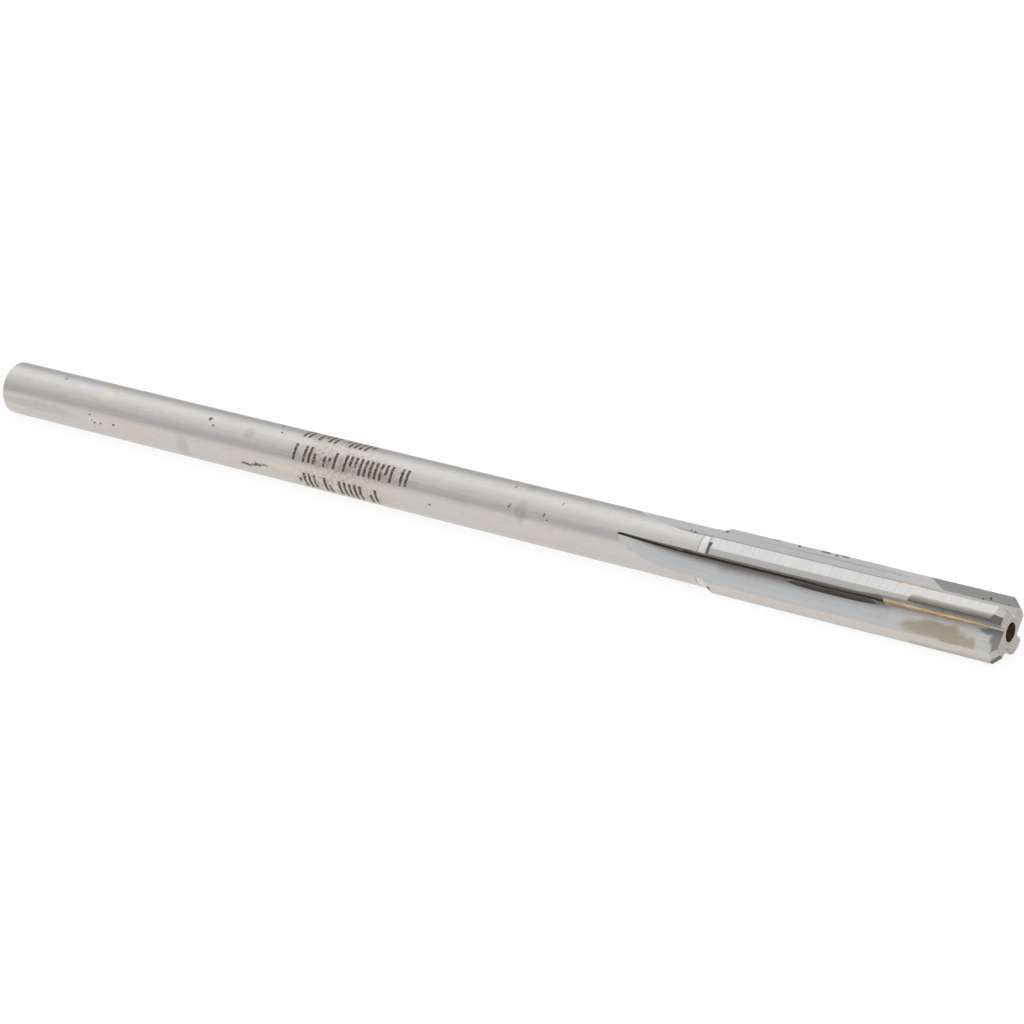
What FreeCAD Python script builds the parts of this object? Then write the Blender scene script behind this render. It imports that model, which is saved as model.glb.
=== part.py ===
"""Machine reamer with a straight shank, four straight flutes and four brazed carbide tips.

Every piece is drawn in the tool's own frame: X runs along the axis from the rear face (x = 0)
to the tip, Y is the radial line of the first cutting edge, and Z leads that edge in the
direction of cutting. The pieces are then turned and lifted so that the tool lies on its shank,
with the tip towards +X, +Z up and the origin on the surface below the middle of the tool.
"""
import FreeCAD, Part
import math
import os

import Sketcher
from FreeCAD import Placement, Rotation, Vector

doc = FreeCAD.newDocument("machine_reamer")

# ---------------------------------------------------------------- driving dimensions (mm, degrees)

SIZES = {
    # turned blank
    "overall_length": 152.4,      # rear face to tip
    "shank_diameter": 7.09,
    "cutting_diameter": 8.0,
    "land_length": 38.1,          # full-diameter lands, measured back from the tip
    "step_length": 0.7,           # steep bevel behind the lands
    "neck_length": 1.5,           # slow cone behind the bevel
    "neck_rise": 0.095,           # growth of the radius over that cone
    "shank_chamfer": 0.3,
    "tip_chamfer": 0.9,           # 45 degree lead that does the cutting
    # centre holes in both ends
    "centre_mouth": 2.33,
    "centre_pilot": 0.9,
    "centre_angle": 60,
    "centre_depth": 2.6,          # end face to the end of the pilot drilling
    "drill_point_angle": 118,
    # flutes
    "flute_count": 4,
    "flute_length": 40.8,         # full-depth length, measured back from the tip
    "flute_cutter_radius": 30,
    "core_radius": 1.65,          # solid core that the flutes leave
    "wall_lead": 4,               # milled front wall, ahead of the ground cutting face
    "back_wall_angle": 85,        # back wall, from the radial line of the cutting edge
    "root_fillet": 0.25,
    # lands
    "margin_angle": 7,            # cylindrical margin behind the cutting edge
    "relief_angle": 17.5,
    # carbide tips
    "tip_length": 11.45,          # along the cutting edge
    "tip_thickness": 0.85,
    "tip_floor": 2.8,             # from the axis to the floor of the tip's slot
    "tip_rear_slant": 60,         # rear end, from the radial direction
    "tip_corner": 0.5,            # round inner rear corner
    "braze_gap": 0.07,
    # wheel that faced the tips
    "face_wheel_radius": 60,
    "scoop_wheel_radius": 60,
    "scoop_rim": 0.46,            # radius of the wheel's rounded rim
    "scoop_length_from_tip": 22.1,
    "scoop_root": 1.4,            # from the axis to the bottom of the scoop
    "scoop_lead": 0.65,           # from the cutting face to the middle of the scoop
    # pose
    "resting_turn": 56,           # first cutting edge above the horizontal
}

sheet = doc.addObject("Spreadsheet::Sheet", "dim")
for row, (alias, value) in enumerate(SIZES.items(), start=1):
    sheet.set(f"A{row}", alias)
    sheet.set(f"B{row}", str(value))
    sheet.setAlias(f"B{row}", alias)
doc.recompute()

LENGTH = "dim.overall_length"
SHANK = "dim.shank_diameter / 2"
CUTTING = "dim.cutting_diameter / 2"
LAND_START = "(dim.overall_length - dim.land_length)"
STEP_START = "(dim.overall_length - dim.land_length - dim.step_length)"
NECK_START = "(dim.overall_length - dim.land_length - dim.step_length - dim.neck_length)"
CLEAR = "(dim.shank_diameter + dim.cutting_diameter) * 0.4"     # a radius well outside the tool
ZERO = "0"
SMALLEST_CUT = 0.0001    # mm3
FULL_TURN = 360
RUN_OUT_TURN = 45        # degrees, more than the flute cutter turns through the blank
SCOOP_TURN = 14          # degrees, more than the scoop's length takes on its wheel


# ---------------------------------------------------------------- sketch helpers

def number(expression):
    """Value of an expression on the sheet."""
    result = sheet.evalExpression(expression)
    return float(getattr(result, "Value", result))


def origin_feature(body, role):
    """One of the planes or axes of the body's own origin."""
    return [feature for feature in body.Origin.OriginFeatures if feature.Role == role][0]


def sketch_on(body, name, plane, offset=None):
    """Empty sketch on one of the body's own origin planes, moved along its normal."""
    sketch = body.newObject("Sketcher::SketchObject", name)
    sketch.AttachmentSupport = (origin_feature(body, plane), "")
    sketch.MapMode = "FlatFace"
    if offset:
        sketch.setExpression("AttachmentOffset.Base.z", offset)
    return sketch


def bind(sketch, constraint, expression):
    """Add a dimension and tie it to an expression on the sheet."""
    index = sketch.addConstraint(constraint)
    sketch.setExpression(f"Constraints[{index}]", expression)


def place(sketch, item, end, x, y):
    """Tie one end of an item to its two coordinates."""
    bind(sketch, Sketcher.Constraint("DistanceX", -1, 1, item, end, number(x)), x)
    bind(sketch, Sketcher.Constraint("DistanceY", -1, 1, item, end, number(y)), y)


def tangent_arc(before, corner, after, radius):
    """Arc that rounds a corner, and whether it runs against the direction of the outline."""
    inward = (before - corner).normalize()
    outward = (after - corner).normalize()
    half = inward.getAngle(outward) / 2
    reach = radius / math.tan(half)
    centre = corner + (inward + outward).normalize() * (radius / math.sin(half))
    first = corner + inward * reach - centre
    last = corner + outward * reach - centre
    clockwise = first.cross(last).z < 0
    if clockwise:
        first, last = last, first
    start = math.atan2(first.y, first.x)
    sweep = first.getAngle(last)
    circle = Part.Circle(centre, Vector(0, 0, 1), radius)
    return Part.ArcOfCircle(circle, start, start + sweep), clockwise


def outline(sketch, corners, rounds=None):
    """Closed outline through corners given as pairs of expressions; some corners are rounded."""
    rounds = rounds or {}
    count = len(corners)
    points = [Vector(number(x), number(y), 0) for x, y in corners]
    edges = []
    for i in range(count):
        edges.append(sketch.addGeometry(Part.LineSegment(points[i], points[(i + 1) % count]), False))
    for i, (x, y) in enumerate(corners):
        before, after = edges[i - 1], edges[i]
        if i not in rounds:
            sketch.addConstraint(Sketcher.Constraint("Coincident", before, 2, after, 1))
            place(sketch, after, 1, x, y)
            continue
        radius = rounds[i]
        following = points[(i + 1) % count]
        arc_shape, clockwise = tangent_arc(points[i - 1], points[i], following, number(radius))
        arc = sketch.addGeometry(arc_shape, False)
        corner = sketch.addGeometry(Part.Point(points[i]), True)
        place(sketch, corner, 1, x, y)
        sketch.addConstraint(Sketcher.Constraint("PointOnObject", corner, 1, before))
        sketch.addConstraint(Sketcher.Constraint("PointOnObject", corner, 1, after))
        arc_ends = (2, 1) if clockwise else (1, 2)
        sketch.addConstraint(Sketcher.Constraint("Tangent", before, 2, arc, arc_ends[0]))
        sketch.addConstraint(Sketcher.Constraint("Tangent", arc, arc_ends[1], after, 1))
        bind(sketch, Sketcher.Constraint("Radius", arc, number(radius)), radius)


def wheel_axis(sketch, x):
    """Construction line parallel to the sketch's vertical axis: the axle of a cutter or wheel."""
    line = Part.LineSegment(Vector(number(x), 0, 0), Vector(number(x), number(CLEAR), 0))
    item = sketch.addGeometry(line, True)
    place(sketch, item, 1, x, ZERO)
    place(sketch, item, 2, x, CLEAR)


def cut(body, feature):
    """Finish a cutting feature, and make sure that it takes material away."""
    before = body.Shape.Volume
    body.Tip = feature
    doc.recompute()
    if feature.Shape.isNull() or feature.Shape.Volume > before - SMALLEST_CUT:
        raise RuntimeError(f"{feature.Name} cuts nothing")


def pocket(body, sketch, length, against=False):
    """Straight cut from a sketch."""
    feature = body.newObject("PartDesign::Pocket", sketch.Name + "_cut")
    feature.Profile = sketch
    feature.Reversed = against
    feature.setExpression("Length", length)
    cut(body, feature)
    return feature


def groove(body, sketch, axis, angle=FULL_TURN, against=False, both_ways=False):
    """Turned cut from a sketch, round one of the sketch's axes."""
    feature = body.newObject("PartDesign::Groove", sketch.Name + "_cut")
    feature.Profile = sketch
    feature.ReferenceAxis = (sketch, [axis])
    feature.Angle = angle
    feature.Reversed = against
    feature.Midplane = both_ways
    cut(body, feature)
    return feature


def new_body(label, edge_number):
    """Body of one piece, laid down with the whole tool and turned to its own cutting edge."""
    body = doc.addObject("PartDesign::Body", label)
    body.Label = label
    body.Placement = Placement(Vector(0, 0, 1), Rotation(Vector(1, 0, 0), 1))
    body.setExpression("Placement.Base.x", f"-{LENGTH} / 2")
    body.setExpression("Placement.Base.z", SHANK)
    turn = f"dim.resting_turn + {edge_number} * 360 / dim.flute_count"
    body.setExpression("Placement.Rotation.Angle", turn)
    return body


# ---------------------------------------------------------------- cuts shared by body, tips and seams

def relieve_land(body, name):
    """Flat ground behind the margin, down past the heel of the land."""
    slope = "(dim.margin_angle + dim.relief_angle)"
    past_heel = "dim.cutting_diameter * 0.3"
    cosine, sine = "cos(dim.margin_angle)", "sin(dim.margin_angle)"
    flat_end = (f"{CUTTING} * {cosine} - {past_heel} * sin{slope}",
                f"-{CUTTING} * {sine} - {past_heel} * cos{slope}")
    sketch = sketch_on(body, name, "YZ_Plane", LENGTH)
    outline(sketch, [
        (f"{CUTTING} * {cosine}", f"-{CUTTING} * {sine}"),
        flat_end,
        (CLEAR, flat_end[1]),
        (CLEAR, f"-{CLEAR} * {sine} / {cosine}"),
    ])
    return pocket(body, sketch, "dim.land_length + dim.step_length")


def tip_outline(sketch, gap):
    """Side view of a tip, or with a gap all round, of the slot that holds it."""
    rear = f"{LENGTH} - dim.tip_length - {gap} / cos(dim.tip_rear_slant)"
    floor = f"(dim.tip_floor + dim.braze_gap - {gap})"
    outline(sketch, [
        (LENGTH, CLEAR),
        (f"{rear} + ({CUTTING} - {CLEAR}) * tan(dim.tip_rear_slant)", CLEAR),
        (f"{rear} + ({CUTTING} - {floor}) * tan(dim.tip_rear_slant)", floor),
        (LENGTH, floor),
    ], {2: f"dim.tip_corner + {gap}"})


def trim_to_land(body, name):
    """Bring the outside to the cutting diameter and the chamfer of the blank."""
    beyond = "dim.tip_chamfer"
    sketch = sketch_on(body, name, "XY_Plane")
    outline(sketch, [
        (LAND_START, CUTTING),
        (f"{LENGTH} - dim.tip_chamfer", CUTTING),
        (f"{LENGTH} + {beyond}", f"{CUTTING} - dim.tip_chamfer - {beyond}"),
        (f"{LENGTH} + {beyond}", f"{CLEAR} * 2"),
        (LAND_START, f"{CLEAR} * 2"),
    ])
    groove(body, sketch, "H_Axis")


# ---------------------------------------------------------------- steel body

def turn_blank(body):
    """Shank, slow neck cone, bevel, land diameter and tip chamfer as one revolved profile."""
    sketch = sketch_on(body, "blank_profile", "XY_Plane")
    outline(sketch, [
        (ZERO, ZERO),
        (ZERO, f"{SHANK} - dim.shank_chamfer"),
        ("dim.shank_chamfer", SHANK),
        (NECK_START, SHANK),
        (STEP_START, f"{SHANK} + dim.neck_rise"),
        (LAND_START, CUTTING),
        (f"{LENGTH} - dim.tip_chamfer", CUTTING),
        (LENGTH, f"{CUTTING} - dim.tip_chamfer"),
        (LENGTH, ZERO),
    ])
    feature = body.newObject("PartDesign::Revolution", "blank")
    feature.Profile = sketch
    feature.ReferenceAxis = (sketch, ["H_Axis"])
    feature.Angle = FULL_TURN
    body.Tip = feature
    doc.recompute()


def drill_centre(body, name, face, inwards):
    """Centre hole: a cone that the grinding centres bear in, and a pilot drilling behind it."""
    mouth, pilot = "dim.centre_mouth / 2", "dim.centre_pilot / 2"
    cone = f"({mouth} - {pilot}) / tan(dim.centre_angle / 2)"
    point = f"{pilot} / tan(dim.drill_point_angle / 2)"
    sketch = sketch_on(body, name, "XY_Plane")
    outline(sketch, [
        (face, ZERO),
        (face, mouth),
        (f"{face} {inwards} {cone}", pilot),
        (f"{face} {inwards} dim.centre_depth", pilot),
        (f"{face} {inwards} (dim.centre_depth + {point})", ZERO),
    ])
    groove(body, sketch, "H_Axis")


def flute_section(sketch):
    """Front wall just ahead of the cutting face, round root, and the back wall of the next land."""
    lead, back = "dim.wall_lead", "dim.back_wall_angle"
    root = f"dim.core_radius / (sin({back}) - tan({lead}) * cos({back}))"
    outline(sketch, [
        (CLEAR, f"{CLEAR} * tan({lead})"),
        (root, f"{root} * tan({lead})"),
        (f"(dim.core_radius + {CLEAR} * cos({back})) / sin({back})", CLEAR),
        (CLEAR, CLEAR),
    ], {1: "dim.root_fillet"})


def mill_flute(body):
    """Full-depth flute to the tip, and the run-out that the round cutter leaves behind it."""
    straight = sketch_on(body, "flute", "YZ_Plane", f"{LENGTH} - dim.flute_length")
    flute_section(straight)
    run_out = sketch_on(body, "flute_run_out", "YZ_Plane", f"{LENGTH} - dim.flute_length")
    flute_section(run_out)
    wheel_axis(run_out, "dim.core_radius + dim.flute_cutter_radius")
    return [pocket(body, straight, "dim.flute_length", against=True),
            groove(body, run_out, "Axis0", RUN_OUT_TURN, against=True)]


def grind_cutting_face(body):
    """Face ground back to the radial line in front of each tip, above a narrow ledge."""
    sketch = sketch_on(body, "cutting_face", "XZ_Plane", "-dim.tip_floor")
    start = f"{LENGTH} - dim.tip_length - 2 * dim.braze_gap / cos(dim.tip_rear_slant)"
    height = f"{CLEAR} * tan(dim.wall_lead)"
    wheel, deep = number("dim.face_wheel_radius"), number(height)
    centre = Vector(number(start), wheel, 0)
    turn = math.acos(1 - deep / wheel)
    back = Vector(centre.x - wheel * math.sin(turn), deep, 0)
    front = number(LENGTH)
    circle = Part.Circle(centre, Vector(0, 0, 1), wheel)
    arc = sketch.addGeometry(Part.ArcOfCircle(circle, -math.pi / 2 - turn, -math.pi / 2), False)
    corners = [Vector(centre.x, 0, 0), Vector(front, 0, 0), Vector(front, deep, 0), back]
    lines = [sketch.addGeometry(Part.LineSegment(a, b), False) for a, b in zip(corners, corners[1:])]
    for before, after in zip(lines, lines[1:]):
        sketch.addConstraint(Sketcher.Constraint("Coincident", before, 2, after, 1))
    sketch.addConstraint(Sketcher.Constraint("Coincident", lines[-1], 2, arc, 1))
    sketch.addConstraint(Sketcher.Constraint("Coincident", arc, 2, lines[0], 1))
    place(sketch, arc, 3, start, "dim.face_wheel_radius")
    place(sketch, lines[0], 1, start, ZERO)
    place(sketch, lines[1], 1, LENGTH, ZERO)
    place(sketch, lines[2], 1, LENGTH, height)
    bind(sketch, Sketcher.Constraint("DistanceY", -1, 1, lines[2], 2, deep), height)
    return pocket(body, sketch, CLEAR)


def scoop_root(body):
    """Long lens-shaped scoop where the facing wheel's rim touched the root of the flute."""
    sketch = sketch_on(body, "root_scoop", "YZ_Plane", f"{LENGTH} - dim.scoop_length_from_tip")
    middle = "dim.scoop_root + dim.scoop_rim"
    centre = Vector(number(middle), number("dim.scoop_lead"), 0)
    rim = sketch.addGeometry(Part.Circle(centre, Vector(0, 0, 1), number("dim.scoop_rim")), False)
    place(sketch, rim, 3, middle, "dim.scoop_lead")
    bind(sketch, Sketcher.Constraint("Radius", rim, number("dim.scoop_rim")), "dim.scoop_rim")
    wheel_axis(sketch, "dim.scoop_root + dim.scoop_wheel_radius")
    return groove(body, sketch, "Axis0", SCOOP_TURN, both_ways=True)


def mill_tip_slot(body):
    """Slot behind the cutting face that takes a tip and its braze."""
    sketch = sketch_on(body, "tip_slot", "XY_Plane")
    tip_outline(sketch, "dim.braze_gap")
    return pocket(body, sketch, "dim.tip_thickness + dim.braze_gap")


def make_steel_body():
    body = new_body("steel_body", 0)
    turn_blank(body)
    drill_centre(body, "front_centre", LENGTH, "-")
    drill_centre(body, "rear_centre", ZERO, "+")
    cuts = mill_flute(body)
    cuts += [mill_tip_slot(body), grind_cutting_face(body), scoop_root(body)]
    cuts.append(relieve_land(body, "relief"))
    pattern = body.newObject("PartDesign::PolarPattern", "flutes_and_lands")
    pattern.Originals = cuts
    pattern.Axis = (origin_feature(body, "X_Axis"), [""])
    pattern.Angle = FULL_TURN
    pattern.setExpression("Occurrences", "dim.flute_count")
    cut(body, pattern)


# ---------------------------------------------------------------- carbide tips and braze

def slab(body, name, gap, thickness):
    """Tip outline padded backwards from the cutting face."""
    sketch = sketch_on(body, name, "XY_Plane")
    tip_outline(sketch, gap)
    feature = body.newObject("PartDesign::Pad", name + "_pad")
    feature.Profile = sketch
    feature.Reversed = True
    feature.setExpression("Length", thickness)
    body.Tip = feature
    doc.recompute()


def make_carbide_tip(index):
    """Tip that fills its slot up to the braze, ground with the land round it."""
    body = new_body(f"carbide_tip_{index + 1}", index)
    slab(body, f"tip_{index + 1}", ZERO, "dim.tip_thickness")
    trim_to_land(body, f"tip_land_{index + 1}")
    relieve_land(body, f"tip_relief_{index + 1}")


def make_braze_seam(index):
    """Braze on the floor, the back and the rear end of one slot: the slot less the tip."""
    body = new_body(f"braze_seam_{index + 1}", index)
    slab(body, f"seam_{index + 1}", "dim.braze_gap", "dim.tip_thickness + dim.braze_gap")
    hollow = sketch_on(body, f"seam_tip_{index + 1}", "XY_Plane")
    tip_outline(hollow, ZERO)
    pocket(body, hollow, "dim.tip_thickness")
    trim_to_land(body, f"seam_land_{index + 1}")
    relieve_land(body, f"seam_relief_{index + 1}")


make_steel_body()
for edge in range(int(number("dim.flute_count"))):
    make_carbide_tip(edge)
    make_braze_seam(edge)
doc.recompute()

# ---------------------------------------------------------------- checks and export

failed = [item.Name for item in doc.Objects if "Invalid" in item.State or "Error" in item.State]
if failed:
    raise RuntimeError("failed objects: " + ", ".join(failed))

os.makedirs("parts", exist_ok=True)
pieces = [item for item in doc.Objects if item.TypeId == "PartDesign::Body"]
for piece in pieces:
    shape = piece.Shape
    if shape.isNull() or not shape.isValid() or len(shape.Solids) != 1:
        raise RuntimeError(f"{piece.Label} is not one valid solid")
    shape.exportStep(f"parts/{piece.Label}.step")
    box = shape.BoundBox
    print(f"{piece.Label}: {shape.Volume:.2f} mm3, x {box.XMin:.2f} to {box.XMax:.2f}, "
          f"y {box.YMin:.2f} to {box.YMax:.2f}, z {box.ZMin:.2f} to {box.ZMax:.2f}")
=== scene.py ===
# %% [markdown]
# # A machine reamer lying on a white table
#
# A machine reamer finishes a drilled hole to its exact size. This one has a plain round
# shank, a short neck, and four straight teeth. Each tooth carries a small tip of tungsten
# carbide, brazed into a slot near the front end. The tool lies on its shank.
#
# The solids of the tool are already there: the frame brings in the steel body, the four
# tips and the four thin braze seams at their real size and place. This script gives every
# surface its finish and adds what a machinist would see up close. The frame comes first,
# because all places below are measured from it.

# %% The frame and the tools
import math

import bmesh
import bpy
from mathutils import Matrix, Vector


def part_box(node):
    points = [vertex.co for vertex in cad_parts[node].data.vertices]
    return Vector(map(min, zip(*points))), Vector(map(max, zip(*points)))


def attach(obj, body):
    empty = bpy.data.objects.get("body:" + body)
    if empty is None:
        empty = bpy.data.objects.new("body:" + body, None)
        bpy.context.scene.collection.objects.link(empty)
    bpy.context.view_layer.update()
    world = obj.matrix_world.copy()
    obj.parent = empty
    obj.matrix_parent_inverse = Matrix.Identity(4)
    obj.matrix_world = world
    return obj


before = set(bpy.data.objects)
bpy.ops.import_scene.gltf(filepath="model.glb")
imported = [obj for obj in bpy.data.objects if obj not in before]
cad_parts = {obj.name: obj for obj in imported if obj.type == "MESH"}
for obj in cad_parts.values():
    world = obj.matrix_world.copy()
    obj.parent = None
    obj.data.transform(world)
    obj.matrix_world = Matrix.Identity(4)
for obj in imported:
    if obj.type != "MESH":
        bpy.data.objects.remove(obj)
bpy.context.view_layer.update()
print("pieces from the frame:", ", ".join(sorted(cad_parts)))

# %% [markdown]
# ## Sizes to measure from
#
# Lengths along the tool are easiest to read as a distance from its rear face, and places
# round it as an angle about the tool's axis: 0 degrees points along +Y, 90 degrees
# straight up. Every later cell works in these terms, in mm and degrees.

# %% Sizes to measure from
MM = 0.001
low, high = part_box("steel_body")
LENGTH = (high.x - low.x) / MM                      # 152.4 mm
SHANK_RADIUS = (high.z - low.z) / 2 / MM            # 3.545 mm
AXIS_HEIGHT = SHANK_RADIUS * MM + low.z
CUTTING_RADIUS = 4.0
TEETH = 4
FIRST_EDGE = 56.0                                   # degrees, first cutting edge
TIP_START = (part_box("carbide_tip_1")[0].x - low.x) / MM
LAND_START = LENGTH - 38.1
NECK_END = LENGTH - 38.8                            # the bevel up to the lands begins
CHAMFER_START = LENGTH - 0.9                        # the 45 degree lead begins
print(f"tool {LENGTH:.1f} mm long, shank {2 * SHANK_RADIUS:.2f} mm, tips start at {TIP_START:.2f} mm")

# %% [markdown]
# ## Camera
#
# The view looks down on the front end from the side, with a long lens from about 40 cm
# away, the way a catalogue picture is taken. A long lens keeps the shank's sides almost
# parallel. The camera points along a direction that is turned into a rotation with
# to_track_quat, which keeps the horizon level.

# %% Camera
LENS = 115.0                                        # mm
SENSOR_WIDTH = 36.0                                 # mm
CAMERA_PLACE = (0.229413, -0.307937, 0.142102)      # m
CAMERA_AIM = (-0.5493, 0.7617, -0.3437)
camera_data = bpy.data.cameras.new("catalogue_camera")
camera_data.lens = LENS
camera_data.sensor_width = SENSOR_WIDTH
camera = bpy.data.objects.new("catalogue_camera", camera_data)
bpy.context.scene.collection.objects.link(camera)
camera.location = CAMERA_PLACE
camera.rotation_euler = Vector(CAMERA_AIM).to_track_quat("-Z", "Y").to_euler()
bpy.context.scene.camera = camera
print("camera at", tuple(round(value, 3) for value in camera.location))

# %% [markdown]
# ## Colours and nodes
#
# Colours are easiest to choose as the sRGB hex codes of a paint chart, but shaders work in
# linear light, so one function converts them. Another small function adds any shader node
# with its settings and its inputs: an input may be a plain value or the output of another
# node. Everything below is built from these two.

# %% Colours and nodes
def colour(code):
    """Linear RGBA from an sRGB hex code such as d4d1cd."""
    channels = [int(code[i:i + 2], 16) / 255 for i in (0, 2, 4)]
    linear = [c / 12.92 if c <= 0.04045 else ((c + 0.055) / 1.055) ** 2.4 for c in channels]
    return (*linear, 1.0)


def add(tree, kind, settings=None, inputs=None):
    """Add a node; inputs maps socket names or numbers to values or to other sockets."""
    node = tree.nodes.new(kind)
    for name, value in (settings or {}).items():
        setattr(node, name, value)
    for name, value in (inputs or {}).items():
        if isinstance(value, bpy.types.NodeSocket):
            tree.links.new(value, node.inputs[name])
        else:
            node.inputs[name].default_value = value
    return node


def new_material(name):
    """Empty node material and its output node."""
    material = bpy.data.materials.new(name)
    material.use_nodes = True
    material.node_tree.nodes.clear()
    return material, add(material.node_tree, "ShaderNodeOutputMaterial")


UNDER, OVER = 6, 7           # the two colour inputs of a Mix node
print("mid grey 808080 in linear light:", round(colour("808080")[0], 3))

# %% [markdown]
# ## A white table under soft light
#
# Bright metal has hardly any colour of its own: it shows what stands round it. So the
# studio matters more than the lamps. A white floor fills the lower half of every
# reflection, and a grey room with a bright ceiling the upper half. The reflection of the
# floor stops at a sharp line along the shank, and this line makes the shank look round
# and polished.
#
# The floor is white to the camera and to reflections, through Light Path, and still
# receives the tool's soft shadow.

# %% White table
FLOOR_SIZE = 6.0             # m
FLOOR_GLOW = 0.89            # the panel's light on the paper brings it up to white


def make_floor():
    mesh = bpy.data.meshes.new("white_table")
    shape = bmesh.new()
    bmesh.ops.create_grid(shape, x_segments=1, y_segments=1, size=FLOOR_SIZE / 2)
    shape.to_mesh(mesh)
    shape.free()
    floor = bpy.data.objects.new("white_table", mesh)
    bpy.context.scene.collection.objects.link(floor)
    material, output = new_material("white_paper_matt")
    tree = material.node_tree
    path = add(tree, "ShaderNodeLightPath")
    seen = add(tree, "ShaderNodeMath", {"operation": "MAXIMUM"},
               {0: path.outputs["Is Camera Ray"], 1: path.outputs["Is Glossy Ray"]})
    paper = add(tree, "ShaderNodeBsdfDiffuse", inputs={"Color": colour("6a6a6a")})
    tint = add(tree, "ShaderNodeMix", {"data_type": "RGBA"},
               {"Factor": path.outputs["Is Camera Ray"], UNDER: colour("fbf8f5"), OVER: colour("ffffff")})
    glow = add(tree, "ShaderNodeEmission", inputs={"Color": tint.outputs[2], "Strength": FLOOR_GLOW})
    bright = add(tree, "ShaderNodeAddShader", inputs={0: paper.outputs[0], 1: glow.outputs[0]})
    plain = add(tree, "ShaderNodeBsdfDiffuse", inputs={"Color": colour("f2f0ee")})
    mixed = add(tree, "ShaderNodeMixShader",
                inputs={0: seen.outputs[0], 1: plain.outputs[0], 2: bright.outputs[0]})
    tree.links.new(mixed.outputs[0], output.inputs["Surface"])
    mesh.materials.append(material)


make_floor()
print(f"white table {FLOOR_SIZE:.0f} m square")

# %% [markdown]
# ## Overhead panel
#
# A large soft panel lights the table, so that the tool keeps a faint shadow under it. It
# is hidden from reflections, because the grey room is what the metal mirrors.

# %% Overhead panel
PANEL_HEIGHT = 1.0           # m
PANEL_SIZE = (2.4, 1.4)      # m
PANEL_WATTS = 2.0


def make_panel():
    light = bpy.data.lights.new("overhead_panel", "AREA")
    light.shape = "RECTANGLE"
    light.size, light.size_y = PANEL_SIZE
    light.energy = PANEL_WATTS
    panel = bpy.data.objects.new("overhead_panel", light)
    bpy.context.scene.collection.objects.link(panel)
    panel.location = (0, 0, PANEL_HEIGHT)
    panel.visible_glossy = False


make_panel()
print("overhead panel at", PANEL_HEIGHT, "m")

# %% [markdown]
# ## Grey room
#
# The metal mirrors a room with grey walls and a bright ceiling. The brightness goes by the
# angle over the tool's axis, so each ground face, which points one way, picks one grey. A
# colour ramp holds it, with one stop for each angle.

# %% Grey room
ROOM_BRIGHTEST = 1.25
ROOM = {                     # degrees from the far horizon, over the top, to the near one
    0: 0.66, 12: 0.58, 28: 0.58, 40: 0.66, 50: 0.84, 60: 1.03, 72: 1.19, 86: 1.20, 98: 1.03,
    106: 0.96, 117: 1.00, 125: 0.92, 131: 0.80, 146: 0.77, 157: 0.74, 166: 0.62, 180: 0.50}


def make_room():
    """Grey room, brightest overhead; reflections show it, and the camera sees plain white."""
    world = bpy.data.worlds.new("grey_room")
    world.use_nodes = True
    tree = world.node_tree
    tree.nodes.clear()
    direction = add(tree, "ShaderNodeTexCoord")
    axes = add(tree, "ShaderNodeSeparateXYZ", inputs={0: direction.outputs["Generated"]})
    over = add(tree, "ShaderNodeMath", {"operation": "ARCTAN2"},
               {0: axes.outputs["Z"], 1: axes.outputs["Y"]})
    share = add(tree, "ShaderNodeMath", {"operation": "DIVIDE"}, {0: over.outputs[0], 1: math.pi})
    walls = add(tree, "ShaderNodeValToRGB", inputs={0: share.outputs[0]})
    ramp = walls.color_ramp
    ramp.interpolation = "LINEAR"
    for number, (angle, brightness) in enumerate(ROOM.items()):
        stop = ramp.elements[number] if number < 2 else ramp.elements.new(0.5)    # a new ramp has two
        stop.position = angle / 180
        level = brightness / ROOM_BRIGHTEST
        stop.color = (level, level, level, 1)
    path = add(tree, "ShaderNodeLightPath")
    seen = add(tree, "ShaderNodeMix", {"data_type": "RGBA"},
               {"Factor": path.outputs["Is Camera Ray"], UNDER: walls.outputs[0], OVER: (1, 1, 1, 1)})
    glow = add(tree, "ShaderNodeBackground",
               inputs={"Color": seen.outputs[2], "Strength": ROOM_BRIGHTEST})
    output = add(tree, "ShaderNodeOutputWorld")
    tree.links.new(glow.outputs[0], output.inputs["Surface"])
    bpy.context.scene.world = world


make_room()
bpy.context.scene.view_settings.view_transform = "Standard"
print("grey room with", len(ROOM), "stops")

# %% [markdown]
# ## Where a shader is on the tool
#
# Finishes on a turned and ground tool follow its axis: rings run round it, scratches run
# along it, and marks sit at a distance from an end. A node group works this out once from
# the object coordinates, and every material uses it. All its lengths are in mm.
#
# - Along is the distance from the rear face, Radius the distance from the axis.
# - Turn is the angle about the axis, counted from the marked side.
# - Tooth is the same angle counted from the nearest cutting edge: negative on the land
#   behind it, positive in the flute ahead of it.
# - Across and Deep are flat coordinates in the flute, from the plane through the cutting
#   edge and from the axis.
# - Outward and Forward tell which way the surface faces: away from the axis, and ahead
#   in the direction of cutting.
# - Centred is the place in mm from the rear face, and Unrolled the shank's skin laid flat.

# %% Where a shader is on the tool
MARKED_SIDE = 155.0          # degrees about the axis, the side that carries the size mark
HEEL_SIDE = 35.0             # degrees behind a cutting edge at which the next tooth begins
WALL_SIDE = -3.0             # degrees ahead of a cutting edge from which its flute is measured


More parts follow.
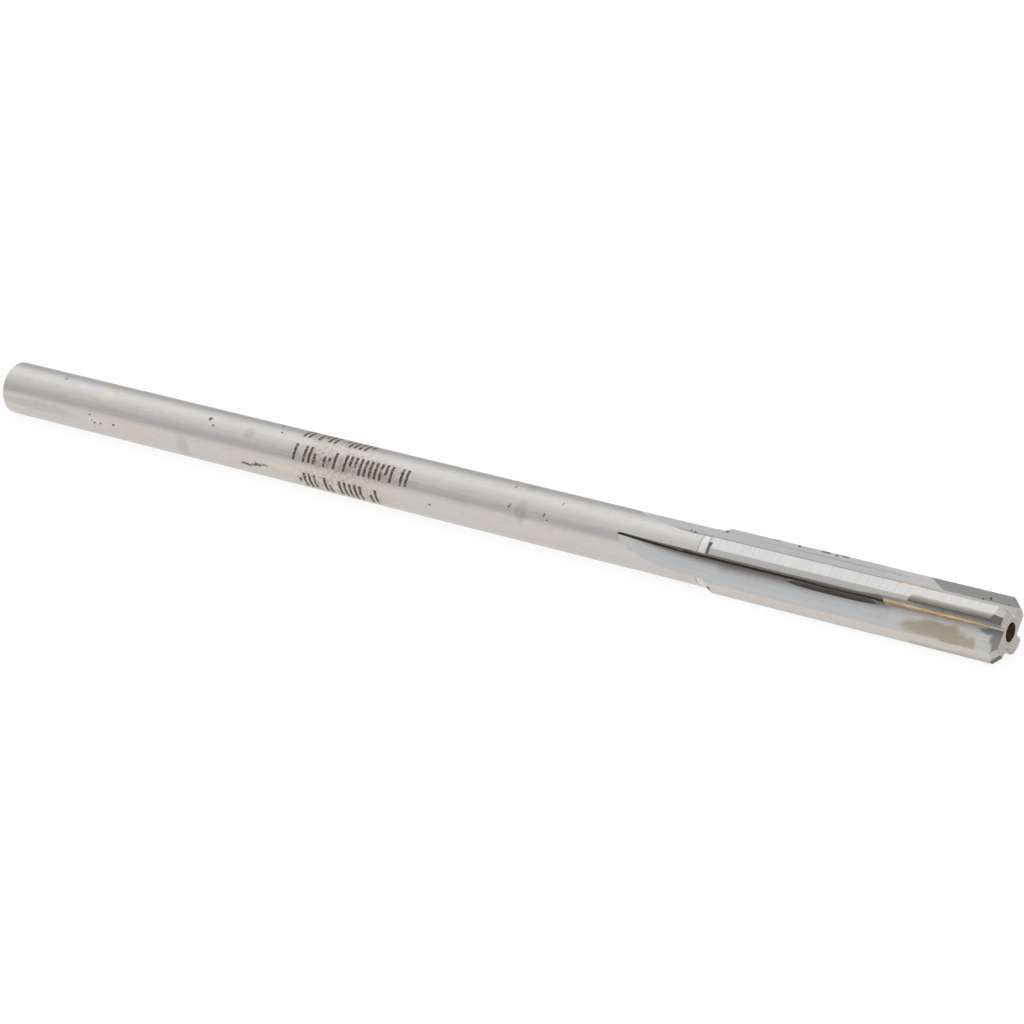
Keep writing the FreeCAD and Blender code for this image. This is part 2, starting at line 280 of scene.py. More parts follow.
def make_place_group():
    group = bpy.data.node_groups.new("place_on_tool", "ShaderNodeTree")
    for name in ("Along", "Turn", "Radius", "Outward", "Forward", "Tooth", "Across", "Deep"):
        group.interface.new_socket(name, in_out="OUTPUT", socket_type="NodeSocketFloat")
    for name in ("Centred", "Unrolled"):
        group.interface.new_socket(name, in_out="OUTPUT", socket_type="NodeSocketVector")
    here = add(group, "ShaderNodeTexCoord")
    centred = add(group, "ShaderNodeMapping", {"vector_type": "TEXTURE"},
                  {0: here.outputs["Object"], "Location": (low.x, 0, AXIS_HEIGHT),
                   "Scale": (MM, MM, MM)})
    radial = add(group, "ShaderNodeVectorMath", {"operation": "MULTIPLY"},
                 {0: centred.outputs[0], 1: (0, 1, 1)})
    radius = add(group, "ShaderNodeVectorMath", {"operation": "LENGTH"}, {0: radial.outputs[0]})
    unit = add(group, "ShaderNodeVectorMath", {"operation": "NORMALIZE"}, {0: radial.outputs[0]})
    ahead = add(group, "ShaderNodeVectorMath", {"operation": "CROSS_PRODUCT"},
                {0: (1, 0, 0), 1: unit.outputs[0]})
    found = {"Radius": radius.outputs["Value"], "Centred": centred.outputs[0]}
    for name, way in (("Outward", unit), ("Forward", ahead)):
        facing = add(group, "ShaderNodeVectorMath", {"operation": "DOT_PRODUCT"},
                     {0: way.outputs[0], 1: here.outputs["Normal"]})
        found[name] = facing.outputs["Value"]
    for name, side in (("Turn", MARKED_SIDE), ("Tooth", FIRST_EDGE)):
        turned = add(group, "ShaderNodeVectorRotate", {"rotation_type": "X_AXIS"},
                     {"Vector": radial.outputs[0], "Angle": -math.radians(side)})
        axes = add(group, "ShaderNodeSeparateXYZ", inputs={0: turned.outputs[0]})
        angle = add(group, "ShaderNodeMath", {"operation": "ARCTAN2"},
                    {0: axes.outputs["Z"], 1: axes.outputs["Y"]})
        degrees = add(group, "ShaderNodeMath", {"operation": "DEGREES"}, {0: angle.outputs[0]})
        found[name] = degrees.outputs[0]
    any_edge = found["Tooth"]
    for name, first in (("Tooth", -HEEL_SIDE), ("Flute", WALL_SIDE)):
        wrapped = add(group, "ShaderNodeMath", {"operation": "WRAP"},
                      {0: any_edge, 1: first + 360 / TEETH, 2: first})
        found[name] = wrapped.outputs[0]
    slope = add(group, "ShaderNodeMath", {"operation": "RADIANS"}, {0: found.pop("Flute")})
    for name, share in (("Across", "SINE"), ("Deep", "COSINE")):
        part = add(group, "ShaderNodeMath", {"operation": share}, {0: slope.outputs[0]})
        found[name] = add(group, "ShaderNodeMath", {"operation": "MULTIPLY"},
                          {0: part.outputs[0], 1: found["Radius"]}).outputs[0]
    along = add(group, "ShaderNodeSeparateXYZ", inputs={0: centred.outputs[0]})
    found["Along"] = along.outputs["X"]
    arc = add(group, "ShaderNodeMath", {"operation": "MULTIPLY"},
              {0: found["Turn"], 1: math.radians(SHANK_RADIUS)})
    found["Unrolled"] = add(group, "ShaderNodeCombineXYZ",
                            inputs={"X": along.outputs["X"], "Y": arc.outputs[0]}).outputs[0]
    output = add(group, "NodeGroupOutput")
    for name, socket in found.items():
        group.links.new(socket, output.inputs[name])
    return group


place_group = make_place_group()


def place_on_tool(tree):
    return add(tree, "ShaderNodeGroup", {"node_tree": place_group}).outputs


print("place group gives", ", ".join(socket.name for socket in place_group.interface.items_tree))

# %% [markdown]
# ## Masks
#
# A mask is a number from 0 to 1 over the surface, and a coat of colour is laid on through
# it. `within` is a stretch between two values with soft ends, `both` keeps what several
# masks share, and `either` joins them. `patches` makes a mask from noise that is stretched
# to a real size along and across the tool. `blot` is an oval spot on a flat sheet, `spots`
# joins several, and `ragged` makes their outlines uneven. `coats` lays colours over each
# other in order.

# %% Masks
FAR = 999.0                  # an end that is never reached
BLOT_RIM, BLOT_FADE = 0.85, 0.6                      # shares of a blot's half size


def both(tree, *masks):
    """Product of masks; a plain number weakens the result."""
    result = masks[0]
    for mask in masks[1:]:
        result = add(tree, "ShaderNodeMath", {"operation": "MULTIPLY"}, {0: result, 1: mask}).outputs[0]
    return result


def either(tree, *masks):
    """Strongest of several masks."""
    result = masks[0]
    for mask in masks[1:]:
        result = add(tree, "ShaderNodeMath", {"operation": "MAXIMUM"}, {0: result, 1: mask}).outputs[0]
    return result


def within(tree, value, start, end, soft):
    """1 where a value lies between start and end, with ends that fade over soft."""
    ends = []
    for edge, side in ((start, 1), (end, -1)):
        if abs(edge) < FAR:
            fade = add(tree, "ShaderNodeMapRange", {"interpolation_type": "SMOOTHSTEP"}, {
                "Value": value, "From Min": edge - side * soft / 2, "From Max": edge + side * soft / 2})
            ends.append(fade.outputs[0])
    return both(tree, *ends)


def patches(tree, place, size, start, end, detail=2.0):
    """Noise with spots of a size in mm along X, Y and Z; start to end is its soft border."""
    scaled = add(tree, "ShaderNodeMapping", {"vector_type": "TEXTURE"},
                 {0: place["Centred"], "Scale": size})
    noise = add(tree, "ShaderNodeTexNoise", inputs={
        "Vector": scaled.outputs[0], "Scale": 1.0, "Detail": detail, "Roughness": 0.6})
    border = add(tree, "ShaderNodeMapRange", {"interpolation_type": "SMOOTHSTEP"},
                 {"Value": noise.outputs["Fac"], "From Min": start, "From Max": end})
    return border.outputs[0]


def blot(tree, sheet, along, across, length, height):
    """Oval spot on a flat sheet in mm, fading from its middle to its rim."""
    oval = add(tree, "ShaderNodeMapping", {"vector_type": "TEXTURE"},
               {0: sheet, "Location": (along, across, 0), "Scale": (length / 2, height / 2, 1)})
    reach = add(tree, "ShaderNodeVectorMath", {"operation": "LENGTH"}, {0: oval.outputs[0]})
    return within(tree, reach.outputs["Value"], -FAR, BLOT_RIM, BLOT_FADE)


def spots(tree, sheet, places, unrolled=1.0):
    """Several blots; unrolled is the length in mm of one unit across the sheet."""
    return either(tree, *[blot(tree, sheet, along, across * unrolled, length, height)
                          for along, across, length, height in places])


def ragged(tree, sheet, size, amount):
    """A flat sheet, pushed about by noise so that outlines on it turn ragged."""
    noise = add(tree, "ShaderNodeTexNoise", inputs={"Vector": sheet, "Scale": 1 / size, "Detail": 3.0})
    centred = add(tree, "ShaderNodeVectorMath", {"operation": "SUBTRACT"},
                  {0: noise.outputs["Color"], 1: (0.5, 0.5, 0.5)})
    pushed = add(tree, "ShaderNodeVectorMath", {"operation": "MULTIPLY_ADD"},
                 {0: centred.outputs[0], 1: (amount, amount, 0), 2: sheet})
    return pushed.outputs[0]


def coats(tree, base, layers):
    """Lay colours over a base, each through its own mask; a colour is a code or a socket."""
    result = base
    for mask, coat in layers:
        top = colour(coat) if isinstance(coat, str) else coat
        mix = add(tree, "ShaderNodeMix", {"data_type": "RGBA"}, {"Factor": mask, UNDER: result, OVER: top})
        result = mix.outputs[2]
    return result


print("mask helpers: both, either, within, patches, blot, spots, ragged, coats")

# %% [markdown]
# ## The size mark
#
# A laser burns the size into the shank in three rows. The beam leaves brown oxide, with a
# speckled tan halo round it. Here the rows hold plain upright bars of uneven height, which
# say nothing. The bars need no picture: the distance along the shank is cut into cells, a
# white noise gives each cell its own random numbers, and these decide whether the cell
# holds a bar and how far the bar reaches up and down.

# %% The size mark
BAR_PITCH = 0.82             # mm
BAR_WIDTH = 0.42
DEGREE = math.radians(SHANK_RADIUS)                  # mm round the shank
BAR_CUT = 0.38               # share of its height that a short bar lacks at one end
CUT_BARS = 0.28              # share of the bars that are short at that end
EMPTY_CELLS = 0.14           # share of the cells that hold no bar
MARK_ROWS = {                # distance from the rear face, number of cells, turn, height in mm
    "first": (51.0, 14, -63.5, 2.05),
    "second": (51.0, 23, -8.0, 2.30),
    "third": (51.2, 18, 52.0, 2.45)}


def bar_row(tree, place, seed, start, cells, turn, height):
    """One row of upright bars, as a mask."""
    sheet = ragged(tree, place["Unrolled"], 0.35, 0.16)
    axes = add(tree, "ShaderNodeSeparateXYZ", inputs={0: sheet})
    cell = add(tree, "ShaderNodeMapRange", {"clamp": False}, {
        "Value": axes.outputs["X"], "From Min": start, "From Max": start + BAR_PITCH})
    number = add(tree, "ShaderNodeMath", {"operation": "FLOOR"}, {0: cell.outputs[0]})
    across = add(tree, "ShaderNodeMath", {"operation": "FRACT"}, {0: cell.outputs[0]})
    key = add(tree, "ShaderNodeCombineXYZ", inputs={"X": number.outputs[0], "Y": seed})
    chance = add(tree, "ShaderNodeTexWhiteNoise", {"noise_dimensions": "2D"}, {"Vector": key.outputs[0]})
    draws = add(tree, "ShaderNodeSeparateColor", inputs={0: chance.outputs["Color"]})
    middle = turn * DEGREE
    upright = add(tree, "ShaderNodeMapRange", {"clamp": False}, {
        "Value": axes.outputs["Y"], "From Min": middle - height / 2, "From Max": middle + height / 2})
    half = BAR_WIDTH / BAR_PITCH / 2
    parts = [within(tree, across.outputs[0], 0.5 - half, 0.5 + half, 0.16),
             within(tree, chance.outputs["Value"], EMPTY_CELLS, FAR, 0.001),
             within(tree, cell.outputs[0], 0, cells, 0.02)]
    for draw, side in ((0, -1), (1, 1)):
        short = add(tree, "ShaderNodeMath", {"operation": "COMPARE"},
                    {0: draws.outputs[draw], 1: 0.0, 2: CUT_BARS})
        moved = add(tree, "ShaderNodeMath", {"operation": "MULTIPLY_ADD"},
                    {0: short.outputs[0], 1: side * BAR_CUT, 2: upright.outputs[0]})
        parts.append(within(tree, moved.outputs[0], 0, 1, 0.08))
    return both(tree, *parts)


def size_mark(tree, place):
    """Masks of the burnt bars and of the speckled halo round their rows."""
    bars, halos = [], []
    speckle = patches(tree, place, (0.5, 0.5, 0.5), 0.42, 0.62, 3.0)
    for seed, (start, cells, turn, height) in enumerate(MARK_ROWS.values()):
        bars.append(bar_row(tree, place, seed * 7.0, start, cells, turn, height))
        length = cells * BAR_PITCH
        middle = (start + length / 2, turn * DEGREE)
        halos.append(blot(tree, place["Unrolled"], *middle, length + 3, height * 1.9))
    worn = patches(tree, place, (0.4, 0.4, 0.4), 0.2, 0.5, 2.0)
    return both(tree, either(tree, *bars), worn), both(tree, either(tree, *halos), speckle)


print("size mark:", len(MARK_ROWS), "rows of plain bars")

# %% [markdown]
# ## Ground shank
#
# The shank is hardened tool steel, cylindrically ground: it turned against a grinding
# wheel, which left fine rings round it. Handling and storage added short scratches along
# it, grey smears where a hand or a holder touched it, small rust-brown streaks and pits.
# The colours below are laid over each other in that order. A spot is given by its
# distance from the rear face (mm), its turn (degrees), and its length and height (mm).

# %% Ground shank
SMALL_PITS = [(10.0, -48, 0.5, 0.5), (16.2, 22, 0.25, 0.35), (16.5, 36, 0.3, 0.35), (17.1, 40, 0.45, 0.3),
              (18.1, 39, 0.35, 0.4), (20.5, 33, 0.4, 0.2), (85.3, -4, 0.3, 0.6), (90.7, -2, 0.25, 0.5),
              (91.1, 5, 0.25, 0.4), (84.8, -50, 0.2, 0.6), (92.5, -35, 0.2, 0.5), (73.4, 33, 0.3, 0.3),
              (47.0, -68, 0.4, 0.6), (48.0, -43, 0.35, 0.5), (36.3, -32, 0.5, 0.9), (37.2, -18, 0.4, 0.5)]
BROWN_STREAKS = [(43.6, 46, 2.0, 0.55), (45.2, 42, 2.2, 0.45), (46.5, 39, 1.6, 0.35)]
GREY_SMEARS = [(32.7, 48, 2.2, 4.4), (87.2, 3, 1.9, 3.6), (87.0, -60, 1.6, 2.0), (6.5, 33, 16, 1.6),
               (43.4, -22, 2.2, 1.8)]
PALE_PATCHES = [(13.7, -38, 1.8, 1.2), (18.4, -27, 2.6, 1.8), (17.3, 35, 3.0, 1.1), (50.0, 34, 6.0, 0.9)]
GROUND = "cecdcb"
# The band on the neck cone is a painted highlight, and the line behind it is painted shade.
NECK_HIGHLIGHT_START = 112.75     # mm from the rear face, a bright band on the neck cone
NECK_SHADE_LINE = (112.45, 112.7)  # the fine dark line behind it


def shank_colour(tree, place):
    """Colour of the shank and the neck, and where it is dull."""
    sheet = ragged(tree, place["Unrolled"], 0.9, 1.1)
    burnt, halo = size_mark(tree, place)
    brown = spots(tree, sheet, BROWN_STREAKS, DEGREE)
    pits = spots(tree, sheet, SMALL_PITS, DEGREE)
    painted_floor_reflection = within(tree, place["Turn"], 15, 100, 30)
    neck_highlight = within(tree, place["Along"], NECK_HIGHLIGHT_START, NECK_END, 0.15)
    neck_shade_line = within(tree, place["Along"], *NECK_SHADE_LINE, 0.15)
    shade = coats(tree, colour(GROUND), [
        (both(tree, patches(tree, place, (0.14, 30, 30), 0.3, 0.75, 3.0), 0.22), "b4b1ad"),
        (both(tree, patches(tree, place, (9, 0.14, 0.14), 0.45, 0.75, 3.0), 0.30), "aeaca9"),
        (both(tree, patches(tree, place, (5, 2.4, 2.4), 0.4, 0.75), 0.35), "cdc4c0"),
        (both(tree, patches(tree, place, (1.2, 0.9, 0.9), 0.45, 0.8), 0.25), "b7b4b0"),
        # painted reflection: the lower side takes a patchy warm tint, the white floor mirrored in the steel
        (both(tree, patches(tree, place, (7, 1.1, 1.1), 0.45, 0.7), painted_floor_reflection, 0.5), "cfc2bb"),
        (both(tree, spots(tree, sheet, PALE_PATCHES, DEGREE), 0.6), "d8d3c2"),
        (both(tree, spots(tree, sheet, GREY_SMEARS, DEGREE), 0.35), "a8a49c"),
        (both(tree, brown, 0.75), "857157"),
        (both(tree, pits, 0.7), "5c5852"),
        (both(tree, halo, 0.6), "a8977c"),
        (both(tree, burnt, 0.9), "63574a"),
        # painted highlight: a bright band on the neck cone
        (both(tree, neck_highlight, 0.7), "e2e2e0"),
        # painted shade: a fine dark line where the neck cone begins
        (both(tree, neck_shade_line, 0.6), "a3a3a1"),
    ])
    return shade, either(tree, burnt, brown, pits)


print("ground shank:", len(SMALL_PITS), "pits,", len(BROWN_STREAKS), "streaks,", len(GREY_SMEARS), "smears")

# %% [markdown]
# ## Lands
#
# A land is the outside of a tooth. A narrow cylindrical margin behind the cutting edge
# rubs in the hole, and the relief behind it is ground away flat. The wheel crossed the
# land, so its lines run across it. They are finer than a render shows, so they are drawn
# 0.17 and 0.07 mm wide. The bevel behind the land carries painted shade next to each
# edge, where that facet lies in shadow, and the lead chamfer at the front is painted dark.
# The relief of the lower land is painted pinkish, a painted reflection of the floor.

# %% Lands
MARGIN = 7.3                 # degrees of margin behind a cutting edge
TIP_DEPTH = 12.2             # degrees of land that a carbide tip takes up
BEVEL_SHADE = (-19.0, 5.0)   # degrees of the bevel that carries painted shade
BEVEL_SHADE_START = 113.85   # mm from the rear face
COARSE_LINE, FINE_LINE = 0.17, 0.07                  # mm


def on_chamfer(tree, place):
    """1 on the lead chamfer: a 45 degree cone, where radius and distance add up to a constant."""
    reach = add(tree, "ShaderNodeMath", {"operation": "ADD"}, {0: place["Along"], 1: place["Radius"]})
    return within(tree, reach.outputs[0], CHAMFER_START + CUTTING_RADIUS - 0.06, FAR, 0.03)


def land_colour(tree, place):
    coarse = patches(tree, place, (COARSE_LINE, 6, 6), 0.38, 0.62, 2.0)
    fine = patches(tree, place, (FINE_LINE, 3, 3), 0.4, 0.7, 2.0)
    margin = within(tree, place["Tooth"], -MARGIN, FAR, 2.6)
    edge = within(tree, place["Tooth"], -MARGIN / 2, FAR, 3.0)
    bevel = both(tree, within(tree, place["Along"], BEVEL_SHADE_START, LAND_START + 0.08, 0.06),
                 within(tree, place["Tooth"], *BEVEL_SHADE, 2.5))
    chamfer = on_chamfer(tree, place)
    last_edge = both(tree, chamfer, within(tree, place["Tooth"], -TIP_DEPTH, FAR, 0.6))
    painted_floor_reflection = within(tree, place["Turn"], 50, 110, 10)
    return coats(tree, colour("cccccb"), [
        (both(tree, coarse, 0.45), "dcdcd8"),
        (both(tree, fine, 0.35), "b4b4b1"),
        (both(tree, margin, 0.75), "b2b2b3"),
        (both(tree, edge, 0.6), "bebdbb"),
        # painted reflection: the relief of the lower land is painted pinkish, the floor mirrored in it
        (both(tree, painted_floor_reflection, 0.5), "cfc6c1"),
        (both(tree, chamfer, 0.8), "b3b1ae"),
        (last_edge, "6a6764"),
        # painted shade on the bevel behind each land, next to its edge
        (bevel, "5d5957"),
    ])


print(f"lands from {LAND_START:.1f} to {LENGTH:.1f} mm, margin {MARGIN} degrees")

# %% [markdown]
# ## Flutes
#
# The flutes were milled before hardening, along the tool, and came out of the furnace
# blue-grey. Their corner and the wall that leads each tooth carry a brown tint of scale
# and painted shade, except on the one tooth turned to the light, whose wall is painted
# lighter.
# Brazing the tips left a yellow stain of flux on the back wall, and the wheel that faced
# the tips touched the root and left a long dull scoop. A spot is given in mm by its
# distance from the rear face, its height on the wall, its length and its width.

# %% Flutes
CORNER = 0.43                # mm across the flute that the scale and painted shade in its corner reach
CORE_RADIUS = 1.65
BACK_WALL_RISE = 0.0875      # the back wall rises by this share of the distance across
LIT_TOOTH = (-130, -60)    # turn of the tooth whose leading wall is painted lighter, as lit
BRAZE_START = 137.1          # mm from the rear face
SCOOP_SPAN = (122, 139)      # mm from the rear face
SCOOP_DEPTH = 0.012          # mm below the flute's floor from which a point is in the scoop
STAINS = [(143.0, 2.35, 7.0, 1.9), (146.8, 2.6, 6.0, 1.7),
          (144.5, 1.75, 7.5, 1.3), (148.6, 2.7, 2.6, 1.5)]
HAZE = [(145.3, 2.0, 11.5, 3.4)]
EDGE_PITS = [(113.7, 3.55, 0.7, 0.35), (120.6, 3.95, 1.0, 0.2), (123.6, 3.88, 0.5, 0.4),
             (127.2, 3.94, 1.5, 0.35), (128.7, 3.88, 0.35, 0.45), (129.8, 3.95, 1.3, 0.3),
             (109.0, 2.66, 0.3, 0.35), (109.6, 2.58, 0.45, 0.25)]
DRY_STREAKS = [(128.0, 3.38, 22.0, 0.16), (136.4, 3.38, 5.5, 0.14), (136.4, 3.52, 3.0, 0.10)]
TIP_SHADE = [(151.6, 0.7, 5.0, 0.9), (152.0, 1.6, 2.2, 2.2), (152.2, 2.8, 1.6, 1.6)]


def flute_colour(tree, place):
    """Colour of the flutes and of the walls of the teeth, and where it is dull."""
    wall = within(tree, place["Forward"], 0.72, FAR, 0.2)
    back = within(tree, place["Forward"], -FAR, 0.35, 0.2)
    lit_tooth = within(tree, place["Turn"], *LIT_TOOTH, 4)
    lit_wall = both(tree, wall, lit_tooth)
    # the other three teeth: their corner and leading wall carry a brown tint of scale and painted shade
    scaled = within(tree, lit_tooth, -FAR, 0.5, 0.1)
    rear = within(tree, place["Along"], -FAR, BRAZE_START, 0.2)
    corner = both(tree, within(tree, place["Across"], -FAR, CORNER, 0.05), scaled, rear)
    floor = add(tree, "ShaderNodeMath", {"operation": "MULTIPLY_ADD"},
                {0: place["Across"], 1: -BACK_WALL_RISE, 2: place["Deep"]})
    scoop = both(tree, within(tree, floor.outputs[0], -FAR, CORE_RADIUS - SCOOP_DEPTH, 0.008),
                 within(tree, place["Along"], *SCOOP_SPAN, 0.5), back)
    spread = add(tree, "ShaderNodeCombineXYZ", inputs={"X": place["Along"], "Y": place["Across"]})
    sheet = ragged(tree, spread.outputs[0], 0.9, 1.0)
    upright = add(tree, "ShaderNodeCombineXYZ", inputs={"X": place["Along"], "Y": place["Radius"]})
    wall_sheet = ragged(tree, upright.outputs[0], 0.25, 0.25)
    stain = both(tree, spots(tree, sheet, STAINS), back)
    heel_shade = both(tree, lit_wall, within(tree, place["Radius"], 2.3, 2.66, 0.1),
                      within(tree, place["Along"], 104, 139, 1.0))
    shade = coats(tree, colour("c9cacb"), [
        (both(tree, patches(tree, place, (12, 0.2, 0.2), 0.35, 0.75), 0.35), "babbbc"),
        (both(tree, patches(tree, place, (6, 1.2, 1.2), 0.4, 0.7), 0.3), "bebdbe"),
        (both(tree, patches(tree, place, (0.5, 0.5, 0.5), 0.55, 0.8), 0.25), "a5a4a4"),
        # painted light: the leading wall turned to the light is painted lighter than the others
        (both(tree, lit_wall, 0.6), "d6d6d5"),
        (both(tree, heel_shade, 0.5), "9b9c9e"),
        (both(tree, lit_wall, spots(tree, wall_sheet, DRY_STREAKS), 0.45), "98999b"),
        (both(tree, lit_wall, spots(tree, wall_sheet, EDGE_PITS), 0.8), "5f5a55"),
        (both(tree, spots(tree, sheet, HAZE), back, 0.3), "d6d2bf"),
        (both(tree, stain, 0.85), "d6d1bc"),
        (both(tree, spots(tree, sheet, TIP_SHADE), back, 0.75), "6f6d6d"),
        # painted shade with a brown tint of scale in the corner of the flute
        (corner, "4f4942"),
        # painted shade with a brown tint of scale on the leading walls of the other teeth
        (both(tree, wall, scaled, rear), "8f887e"),
        (scoop, "8f8c88"),
    ])
    return shade, either(tree, corner, scoop, stain)


print("flutes:", len(STAINS), "blots of flux,", len(EDGE_PITS), "pits at the edge")

# %% [markdown]
# ## The steel body
#
# Hardened tool steel, cylindrically ground: the eye sees a bright, slightly warm grey whose
# highlights are drawn out along the tool. Rings blur a reflection along the tool but keep
# it sharp across, so the shader is anisotropic, with its tangent round the X axis. One
# material carries all regions, because they meet within one solid.

# %% The steel body
BRIGHT, DULL = 0.22, 0.6     # roughness of ground steel and of scale
SKIN_RADIUS = 3.532          # mm; what lies farther out behind the lands is shank or neck
LANDS_INSIDE = 2.6           # mm from the axis, the lowest point of a land
HOLE_RADIUS = 1.17           # mm, mouth of the front centre hole
RING_SCALE = 9.0             # rings of the facing cut to a mm, coarse enough to show


def give(node, material):
    """Put a material on a piece of the frame."""
    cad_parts[node].material_slots[0].material = material


def steel_body():
    material, output = new_material("tool_steel_cylindrically_ground")
    tree = material.node_tree
    place = place_on_tool(tree)
    behind = both(tree, within(tree, place["Along"], -FAR, NECK_END, 0.02),
                  within(tree, place["Radius"], SKIN_RADIUS, FAR, 0.006))
    lands = either(
        tree, on_chamfer(tree, place),
        both(tree, within(tree, place["Along"], NECK_END, FAR, 0.02),
             within(tree, place["Radius"], LANDS_INSIDE, FAR, 0.02),
             within(tree, place["Outward"], 0.8, FAR, 0.06)))
    fluted = both(tree, within(tree, place["Along"], 100, LENGTH - 0.02, 0.02),
                  within(tree, either(tree, behind, lands), -FAR, 0.5, 0.2))
    end_face = both(tree, within(tree, place["Along"], LENGTH - 0.01, FAR, 0.01),
                    within(tree, place["Outward"], -0.5, 0.5, 0.1))
    hole = both(tree, within(tree, place["Radius"], -FAR, HOLE_RADIUS, 0.02),
                within(tree, place["Along"], 140, LENGTH - 0.01, 0.01))
    turned = add(tree, "ShaderNodeCombineXYZ", inputs={"X": place["Radius"]})
    rings = add(tree, "ShaderNodeTexNoise", inputs={
        "Vector": turned.outputs[0], "Scale": RING_SCALE, "Detail": 2.0})
    lines = within(tree, rings.outputs["Fac"], 0.5, FAR, 0.2)
    face = coats(tree, colour("bab6b2"), [(both(tree, lines, 0.7), "86817c")])
    shank, shank_dull = shank_colour(tree, place)
    flute, flute_dull = flute_colour(tree, place)
    base = coats(tree, shank, [
        (lands, land_colour(tree, place)),
        (fluted, flute),
        (end_face, face),
        # painted shade: the centre hole is painted near black, as the shade inside it
        (hole, "332e2a"),
    ])
    dull = either(tree, shank_dull, both(tree, fluted, flute_dull))
    roughness = add(tree, "ShaderNodeMapRange", inputs={"Value": dull, "To Min": BRIGHT, "To Max": DULL})
    around = add(tree, "ShaderNodeTangent", {"direction_type": "RADIAL", "axis": "X"})
    shader = add(tree, "ShaderNodeBsdfPrincipled", inputs={
        "Base Color": base, "Metallic": 1.0, "Roughness": roughness.outputs[0],
        "Anisotropic": 0.9, "Tangent": around.outputs[0]})
    tree.links.new(shader.outputs[0], output.inputs["Surface"])
    return material


give("steel_body", steel_body())
print("steel body finished")

# %% [markdown]
# ## Carbide tips
#
# Tungsten carbide, ground with a diamond wheel. It is darker than steel and takes a finer
# finish, so the eye sees a smooth, smoky grey in the bright steel, darkest along the
# cutting edge, where a few grains have chipped out.

# %% Carbide tips
CHIPS = [(147.9, 2.86, 0.35, 0.5), (148.2, 2.74, 0.5, 0.25), (148.85, 3.22, 0.3, 0.35),
         (151.15, 2.95, 0.15, 0.35), (151.5, 2.72, 0.3, 0.35)]


def carbide():
    material, output = new_material("tungsten_carbide_diamond_ground")
    tree = material.node_tree
    place = place_on_tool(tree)
    on_land = within(tree, place["Outward"], 0.5, FAR, 0.1)
    top = both(tree, on_land, within(tree, place["Tooth"], -FAR, -9.5, 5.0))
    edge = both(tree, on_land, within(tree, place["Tooth"], -3.0, FAR, 4.0))
    fine = patches(tree, place, (0.1, 3, 3), 0.35, 0.7)
    painted_floor_reflection = both(tree, on_land, within(tree, place["Turn"], 55, 76, 6))
    upright = add(tree, "ShaderNodeCombineXYZ", inputs={"X": place["Along"], "Y": place["Radius"]})
    sheet = ragged(tree, upright.outputs[0], 0.25, 0.3)
    chips = both(tree, spots(tree, sheet, CHIPS), within(tree, place["Turn"], *LIT_TOOTH, 4))
    base = coats(tree, colour("a09f9c"), [
        (both(tree, patches(tree, place, (1.5, 0.8, 0.8), 0.4, 0.7), 0.35), "93928f"),
        (on_land, "929089"),
        (both(tree, on_land, fine, 0.5), "817f7a"),
        (both(tree, top, 0.6), "b9b7b3"),
        (both(tree, edge, 0.8), "56534f"),
        # painted reflection: the tip on the lower side is painted light, the white floor mirrored in it
        (both(tree, painted_floor_reflection, 0.85), "c6c0bc"),
        (on_chamfer(tree, place), "6a6764"),
        (both(tree, chips, 0.85), "4a4744"),
    ])
    shader = add(tree, "ShaderNodeBsdfPrincipled", inputs={
        "Base Color": base, "Metallic": 1.0, "Roughness": 0.3})
    tree.links.new(shader.outputs[0], output.inputs["Surface"])
    return material


tip_finish = carbide()
for number in range(1, TEETH + 1):
    give(f"carbide_tip_{number}", tip_finish)
print(TEETH, "carbide tips finished")

# %% [markdown]
# ## Silver braze
#
# An alloy of silver, copper and zinc, left as it ran. In the flute the eye sees a soft, pale
# gold with tan patches of burnt flux. The gold goes by depth, from the axis up to
# `PROUD_DEPTH`, and that takes in part of the seam on the lands as well.

# %% Silver braze
PROUD_DEPTH = 2.75           # mm


def braze():
    material, output = new_material("silver_braze_as_run")
    tree = material.node_tree
    place = place_on_tool(tree)
    proud = within(tree, place["Deep"], -FAR, PROUD_DEPTH, 0.1)
    base = coats(tree, colour("bdbab2"), [
        (proud, "dcc397"),
        (both(tree, proud, patches(tree, place, (1.5, 0.4, 0.4), 0.4, 0.65, 3.0), 0.7), "b59d80"),
        (both(tree, proud, patches(tree, place, (0.9, 0.3, 0.3), 0.55, 0.75, 3.0), 0.6), "efe3c4"),
    ])
    shader = add(tree, "ShaderNodeBsdfPrincipled", inputs={
        "Base Color": base, "Metallic": 1.0, "Roughness": 0.4})
    tree.links.new(shader.outputs[0], output.inputs["Surface"])
    return material


seam_finish = braze()
for number in range(1, TEETH + 1):
    give(f"braze_seam_{number}", seam_finish)
print(TEETH, "braze seams finished")

# %% [markdown]
# ## Braze that ran out
#
# When a tip is brazed, some of the alloy runs out of the joint and freezes in the corner
# of the flute. It is a long bead, blunt behind and drawn out thin in front. It could be a
# painted streak, but it has its own highlights, so it is modelled: a ring of vertices is
# extruded along the corner, and each new ring is moved and scaled.

# %% Braze bead in each flute
BEAD = [                     # distance from the rear face, height and width of the bead in mm
    (137.05, 0.10, 0.06), (137.1, 0.70, 0.30), (137.3, 0.92, 0.39), (138.2, 1.00, 0.44),
    (139.6, 0.96, 0.42), (141.2, 0.98, 0.44), (142.8, 0.84, 0.40), (144.4, 0.80, 0.40),
    (146.0, 0.66, 0.36), (147.6, 0.60, 0.34), (149.0, 0.40, 0.26), (150.2, 0.22, 0.16),
    (150.8, 0.06, 0.05)]
BEAD_SIDES = 20
BEAD_CORNER = (1.70, 0.17)   # mm from the axis and across the flute, where the bead's middle lies


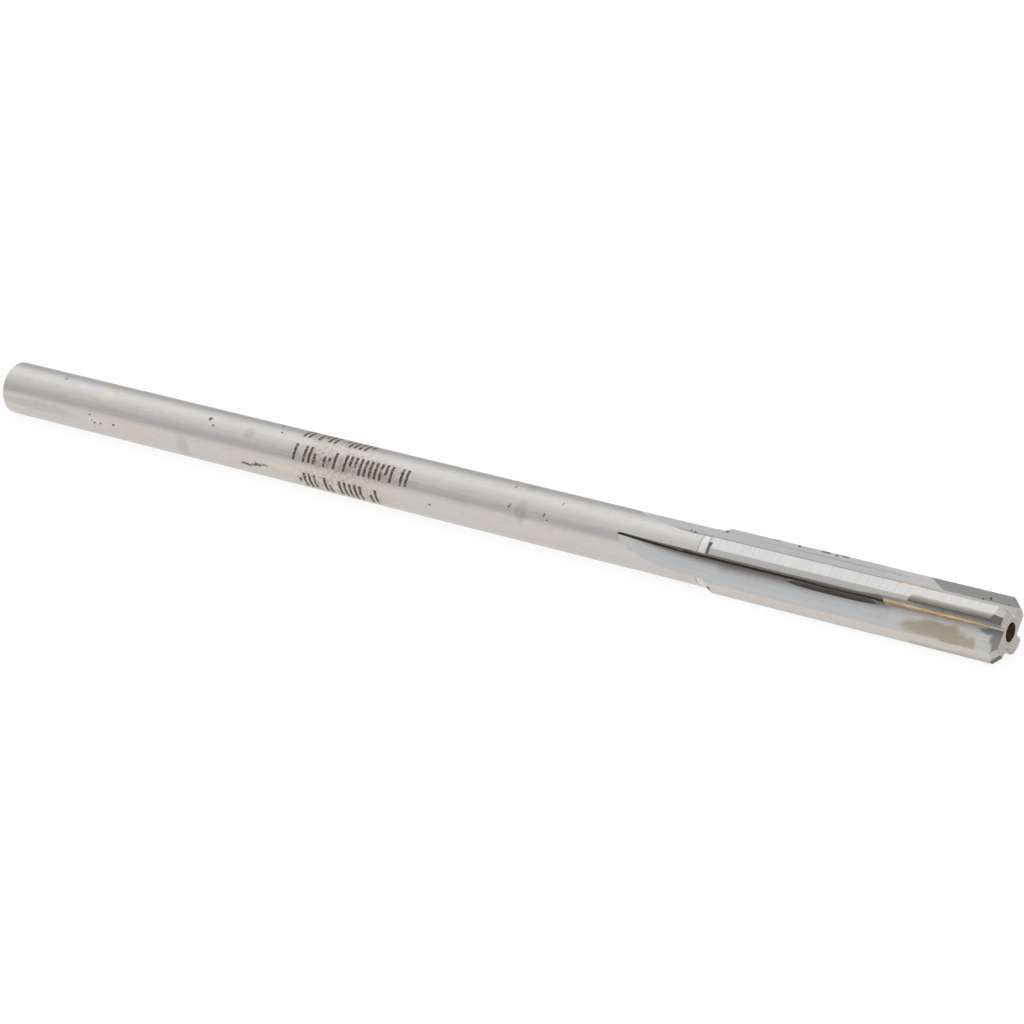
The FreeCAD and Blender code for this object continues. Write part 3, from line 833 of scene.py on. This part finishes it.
def tooth_frame(number):
    """Matrix from (from the axis, across the flute, along the tool) in mm to the world."""
    edge = math.radians(FIRST_EDGE + 90 * (number - 1))
    axes = Matrix(((0, 0, 1), (math.cos(edge), -math.sin(edge), 0), (math.sin(edge), math.cos(edge), 0)))
    return Matrix.Translation((low.x, 0, AXIS_HEIGHT)) @ axes.to_4x4() @ Matrix.Scale(MM, 4)


def ring_matrix(along, height, width):
    """Place and size of one ring of the bead."""
    place = Matrix.Translation((*BEAD_CORNER, along))
    return place @ Matrix.Diagonal((height, width, 1, 1))


def make_bead(shape):
    """Extrude a ring from station to station, then close both ends."""
    made = bmesh.ops.create_circle(shape, segments=BEAD_SIDES, radius=1.0, matrix=ring_matrix(*BEAD[0]))
    edges = list({edge for vertex in made["verts"] for edge in vertex.link_edges})
    rear_rim = edges
    for before, after in zip(BEAD, BEAD[1:]):
        grown = bmesh.ops.extrude_edge_only(shape, edges=edges)["geom"]
        ring = [item for item in grown if isinstance(item, bmesh.types.BMVert)]
        edges = [item for item in grown if isinstance(item, bmesh.types.BMEdge)]
        step = ring_matrix(*after) @ ring_matrix(*before).inverted()
        bmesh.ops.transform(shape, matrix=step, verts=ring)
    for rim in (rear_rim, edges):
        bmesh.ops.contextual_create(shape, geom=rim)


def keep_piece(shape, name, finish):
    """Finish a bmesh as an object that rides on the tool and has its slot and material."""
    bmesh.ops.recalc_face_normals(shape, faces=shape.faces)
    mesh = bpy.data.meshes.new(name)
    for face in shape.faces:
        face.smooth = True
    shape.to_mesh(mesh)
    shape.free()
    mesh.materials.append(finish)
    piece = bpy.data.objects.new(name, mesh)
    bpy.context.scene.collection.objects.link(piece)
    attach(piece, "root")
    print(name, len(mesh.polygons), "faces")


for number in range(1, TEETH + 1):
    shape = bmesh.new()
    make_bead(shape)
    bmesh.ops.transform(shape, matrix=tooth_frame(number), verts=shape.verts)
    keep_piece(shape, f"braze_bead_{number}", seam_finish)

# %% [markdown]
# ## Finish
#
# `plain` turns a box into plain lists of numbers. The box of the frame and the box of all
# that is shown have to agree, because a finish never changes a size.

# %% Finish
def plain(box):
    return [[float(value) for value in corner] for corner in box]
